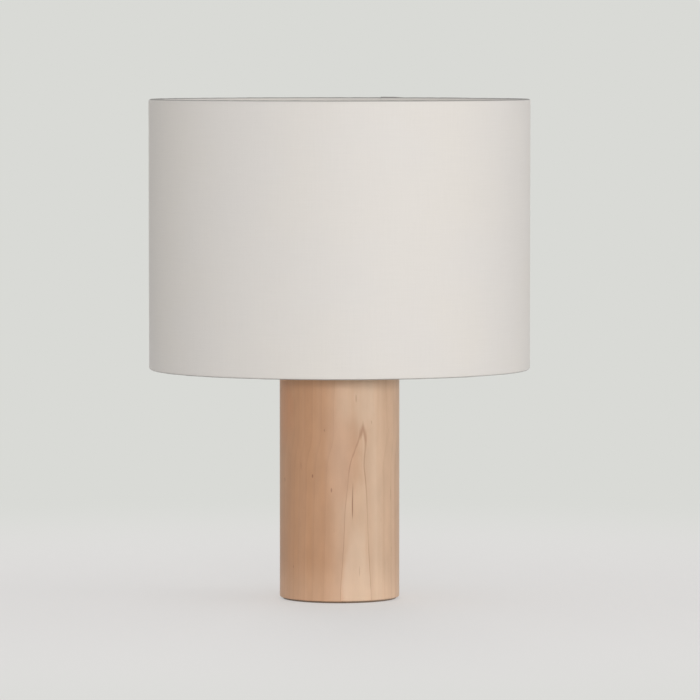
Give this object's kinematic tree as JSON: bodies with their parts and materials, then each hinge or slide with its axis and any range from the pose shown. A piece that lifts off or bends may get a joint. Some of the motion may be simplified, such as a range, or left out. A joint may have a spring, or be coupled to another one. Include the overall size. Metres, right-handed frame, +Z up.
{
  "type": "table lamp",
  "caption": "Table lamp with a plain round wooden column, a fabric drum shade on a wire spider, a threaded lampholder with its shade ring, and a screw-in bulb.",
  "frame": {"origin": "middle of the foot, on the surface that the lamp stands on", "axes": "+Z up along the column and the shade; the cord hole and the shade's seam are at the back, towards +Y; the front is -Y"},
  "size_m": [0.35, 0.35, 0.459],
  "materials": {
    "maple_wood": "satin varnish over pale turned wood",
    "shade_cloth": "plain weave, off-white, matt",
    "shade_lining": "stiff white lining sheet, matt",
    "white_wire": "white powder coat",
    "felt": "dark felt",
    "zinc_steel": "zinc plated",
    "nickel_cover": "brushed nickel",
    "brass_part": "plain brass",
    "white_holder": "moulded, low gloss",
    "porcelain": "glazed ceramic",
    "fibre": "pressed fibre",
    "wire_cover": "soft insulation",
    "block_plastic": "moulded",
    "gland_plastic": "moulded",
    "bulb_metal": "plain",
    "bulb_solder": "dull",
    "bulb_black": "black glass",
    "bulb_white": "moulded",
    "opal": "opal diffuser",
    "board": "white circuit board",
    "chip": "yellow phosphor",
    "driver": "green circuit board"
  },
  "bodies": {
    "base": {"foot_pad": "felt", "column": "maple_wood", "base_plate": "zinc_steel", "base_screws": "zinc_steel", "threaded_tube": "zinc_steel", "bottom_washer": "zinc_steel", "bottom_nut": "zinc_steel", "top_plate": "nickel_cover", "top_nut": "nickel_cover", "cord_gland": "gland_plastic", "cord_clamp": "zinc_steel", "clamp_screws": "zinc_steel", "terminal_block": "block_plastic", "terminal_block_screws": "brass_part", "inner_wires": "wire_cover", "holder_cap": "white_holder", "holder_grub_screw": "zinc_steel", "holder_skirt": "white_holder", "holder_insulator": "porcelain", "holder_terminals": "brass_part", "socket_shell": "brass_part", "centre_contact": "brass_part"},
    "shade": {"shade_fabric": "shade_cloth", "shade_liner": "shade_lining", "shade_top_wire": "white_wire", "shade_bottom_wire": "white_wire", "spider_arms": "white_wire", "fitter_ring": "white_wire"},
    "washer": {"clamp_washer": "fibre"},
    "ring": {"shade_ring": "white_holder"},
    "bulb_contact": {"bulb_tip": "bulb_solder"},
    "bulb": {"bulb_insulator": "bulb_black", "bulb_cap": "bulb_metal", "bulb_housing": "bulb_white", "bulb_dome": "opal", "led_board": "board", "led_chips": "chip", "driver_board": "driver"}
  },
  "joints": [
    {"name": "shade_turn", "type": "hinge", "parent": "base", "child": "shade", "pos_m": [0, 0, 0.247], "axis": [0, 0, 1], "continuous": true},
    {"name": "washer_rise", "type": "slide", "parent": "base", "child": "washer", "axis": [0, 0, 1], "range_m": [0, 0.0252]},
    {"name": "ring_turn", "type": "hinge", "parent": "washer", "child": "ring", "pos_m": [0, 0, 0.25], "axis": [0, 0, 1], "range_deg": [0, 3600]},
    {"name": "bulb_rise", "type": "slide", "parent": "base", "child": "bulb_contact", "axis": [0, 0, 1], "range_m": [0, 0.0111]},
    {"name": "bulb_turn", "type": "hinge", "parent": "bulb_contact", "child": "bulb", "pos_m": [0, 0, 0.2557], "axis": [0, 0, 1], "range_deg": [0, 1080]}
  ],
  "couplings": [
    {"joint": "washer_rise", "follows": "ring_turn", "m_per_rad": 0.00039789},
    {"joint": "bulb_rise", "follows": "bulb_turn", "m_per_rad": 0.00057757}
  ]
}
